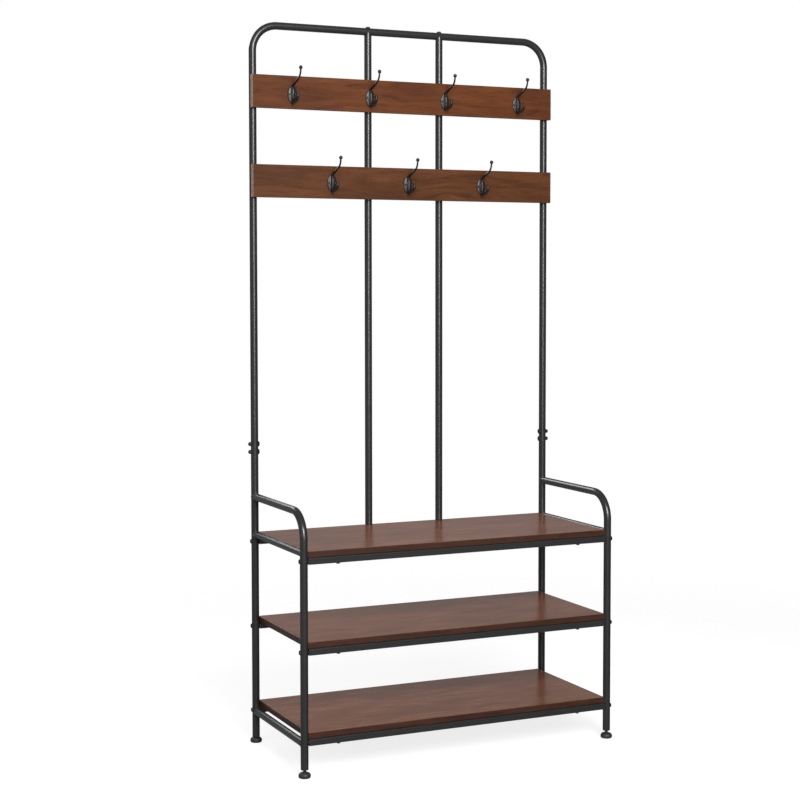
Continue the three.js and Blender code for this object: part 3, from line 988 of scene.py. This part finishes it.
def foot(place, side):
    """A levelling foot: a domed pad moulded on a threaded stud."""
    node = f"foot_{place}_{side}"
    low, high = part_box(node)
    middle = centre(node)
    r = (high.x - low.x) / 2
    line = Straight((middle.x, middle.y, 0), Z, X)
    rim, top = (r, PAD["rim_z"]), PAD["top"]
    profile = [(0, 0.6 * MM), (9.3 * MM, 0.6 * MM), (9.8 * MM, 0), (12 * MM, 0)]
    profile += quarter(rim, (PAD["base_r"], 0.1 * MM))[::-1]
    profile += [(r, 6 * MM), (r - 0.35 * MM, 6.3 * MM)]
    profile += quarter((r - 0.4 * MM, 6.5 * MM), (PAD["neck_r"], top - 0.8 * MM), 8)[1:]
    profile += [(5.4 * MM, top), (0, top)]
    bm = bmesh.new()
    turned(bm, line, profile)
    stud = threaded(STUD["r"])
    count = int((high.z - top) / THREAD["pitch"] * THREAD_STEPS)
    stations = [(top - STUD["in_pad"], None)]
    for k in range(count + 1):
        d = top - STUD["in_pad"] + (high.z - top + STUD["in_pad"]) * k / count
        stations.append((d, stud(d)))
    stations.append((high.z, None))
    loft(bm, line, stations, paint=1)
    piece(bm, f"{node}_moulding", [PLASTIC, BLACK], body=f"{place}_{side}_foot",
          replaces=[node])


def foot_insert(place, side):
    """The threaded plug inside the post's end, with a thin lip and ribs that grip the tube."""
    node = f"foot_insert_{place}_{side}"
    low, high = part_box(node)
    middle = centre(node)
    r = (high.x - low.x) / 2
    line = Straight((middle.x, middle.y, 0), Z, X)
    bore, ribs, chamfer = INSERT["bore_r"], INSERT["ribs"], INSERT["chamfer"]
    profile = [(bore + chamfer, low.z), (r - chamfer, low.z), (r, low.z + chamfer)]
    for k in range(1, ribs + 1):
        z = low.z + (high.z - low.z) * k / (ribs + 1)
        profile += [(r - 0.6 * MM, z - 1.2 * MM), (r, z), (r - 0.6 * MM, z + 0.2 * MM)]
    profile += [(r - 1 * MM, high.z), (bore, high.z), (bore, low.z + chamfer)]
    bm = bmesh.new()
    turned(bm, line, profile, closed=True)
    piece(bm, f"{node}_moulding", [PLASTIC], replaces=[node])


for side in SIDES:
    for place in PLACES:
        foot(place, side)
        foot_insert(place, side)


# --- Floor, light and camera --------------------------------------------------------------

FLOOR_R = 3.0
FLOOR_T = 2 * MM
FLOOR_GLOW = 1.12
FLOOR_GLOW_SHARE = 0.72  # the rest of the floor's look is lit and shaded
# The world's strength falls from left to right
WORLD_FADE = {"From Min": 0.45, "From Max": 0.95, "To Min": 0.3, "To Max": 0.1}
WHITE = (1, 1, 1, 1)


def floor():
    """A pale floor that fades into the white background away from the object."""
    bm = bmesh.new()
    line = Straight((0, 0, 0), Z, X)
    turned(bm, line, [(0, -FLOOR_T), (FLOOR_R, -FLOOR_T), (FLOOR_R, 0), (0, 0)])
    mesh = bpy.data.meshes.new("floor")
    bmesh.ops.recalc_face_normals(bm, faces=bm.faces)
    bm.to_mesh(mesh)
    bm.free()
    thing = bpy.data.objects.new("floor", mesh)
    bpy.context.scene.collection.objects.link(thing)
    n = Nodes("floor")
    distance = n.add("VectorMath", {0: n.place()}, operation="LENGTH").outputs["Value"]
    away = n.ramp(n.maths("DIVIDE", distance, FLOOR_R), (0.35, 0.0), (0.95, 1.0), ease="EASE")
    grain = n.noise(n.place(), 8, detail=3)
    connect(n, n.ramp(grain, (0.3, 0.9), (0.7, 0.92)), 0.9, n.bump(grain, 0.02, 0.001), 0.1)
    glow = n.add("Emission", {"Color": WHITE, "Strength": FLOOR_GLOW}).outputs["Emission"]
    lit = n.shader.outputs["BSDF"]
    pale = n.add("MixShader", {0: FLOOR_GLOW_SHARE, 1: lit, 2: glow}).outputs["Shader"]
    clear = n.add("BsdfTransparent").outputs["BSDF"]
    blend = n.add("MixShader", {0: away, 1: pale, 2: clear})
    output = n.tree.nodes["Material Output"]
    n.tree.links.new(blend.outputs["Shader"], output.inputs["Surface"])
    mesh.materials.append(n.material)
    thing.visible_diffuse = False
    thing.visible_glossy = False


def softbox(name, place, aim, size, power):
    light = bpy.data.lights.new(name, "AREA")
    light.shape = "RECTANGLE"
    light.size, light.size_y = size
    light.energy = power
    lamp = bpy.data.objects.new(name, light)
    lamp.location = place
    lamp.rotation_euler = (Vector(aim) - Vector(place)).to_track_quat("-Z", "Y").to_euler()
    bpy.context.scene.collection.objects.link(lamp)
    return lamp


def lights():
    softbox("key", place=(-0.6, -3.55, 1.85), aim=(-0.1, 0.1, 1.6), size=(0.5, 2.2), power=85)
    softbox("front", place=(-0.8, -4.6, 3.2), aim=(0, 0, 0.7), size=(2.6, 1.8), power=260)
    softbox("back", place=(-0.9, 4.6, 3.3), aim=(0, 0, 1.2), size=(2.6, 1.2), power=70)
    left = softbox("left", place=(-3.4, -1.6, 2.0), aim=(0, 0, 0.9), size=(2.0, 2.4), power=60)
    left.visible_glossy = False


def studio_world():
    """A white background for the camera, and a dimmer light that falls off to one side."""
    world = bpy.data.worlds.new("studio")
    world.use_nodes = True
    tree = world.node_tree
    ground = tree.nodes["Background"]
    way = tree.nodes.new("ShaderNodeSeparateXYZ")
    tree.links.new(tree.nodes.new("ShaderNodeTexCoord").outputs["Generated"], way.inputs[0])
    dim = tree.nodes.new("ShaderNodeMapRange")
    tree.links.new(way.outputs["X"], dim.inputs["Value"])
    for socket, value in WORLD_FADE.items():
        dim.inputs[socket].default_value = value
    tree.links.new(dim.outputs["Result"], ground.inputs["Strength"])
    ground.inputs["Color"].default_value = WHITE
    seen = tree.nodes.new("ShaderNodeBackground")
    seen.inputs["Color"].default_value = WHITE
    path = tree.nodes.new("ShaderNodeLightPath")
    choose = tree.nodes.new("ShaderNodeMixShader")
    tree.links.new(path.outputs["Is Camera Ray"], choose.inputs[0])
    tree.links.new(ground.outputs["Background"], choose.inputs[1])
    tree.links.new(seen.outputs["Background"], choose.inputs[2])
    tree.links.new(choose.outputs["Shader"], tree.nodes["World Output"].inputs["Surface"])
    bpy.context.scene.world = world
    bpy.context.scene.view_settings.view_transform = "Standard"


def camera():
    yaw, pitch, roll = (math.radians(CAMERA[k]) for k in ("yaw", "pitch", "roll"))
    level = Matrix.Rotation(-yaw, 4, "Z") @ Matrix.Rotation(math.pi / 2 + pitch, 4, "X")
    lens = bpy.data.cameras.new("camera")
    lens.lens = CAMERA_LENS
    lens.sensor_width = 36
    lens.shift_y = CAMERA_SHIFT
    lens.clip_end = 100
    eye = bpy.data.objects.new("camera", lens)
    eye.matrix_world = Matrix.Translation(CAMERA["place"]) @ level @ Matrix.Rotation(roll, 4, "Z")
    bpy.context.scene.collection.objects.link(eye)
    bpy.context.scene.camera = eye


floor()
lights()
studio_world()
camera()
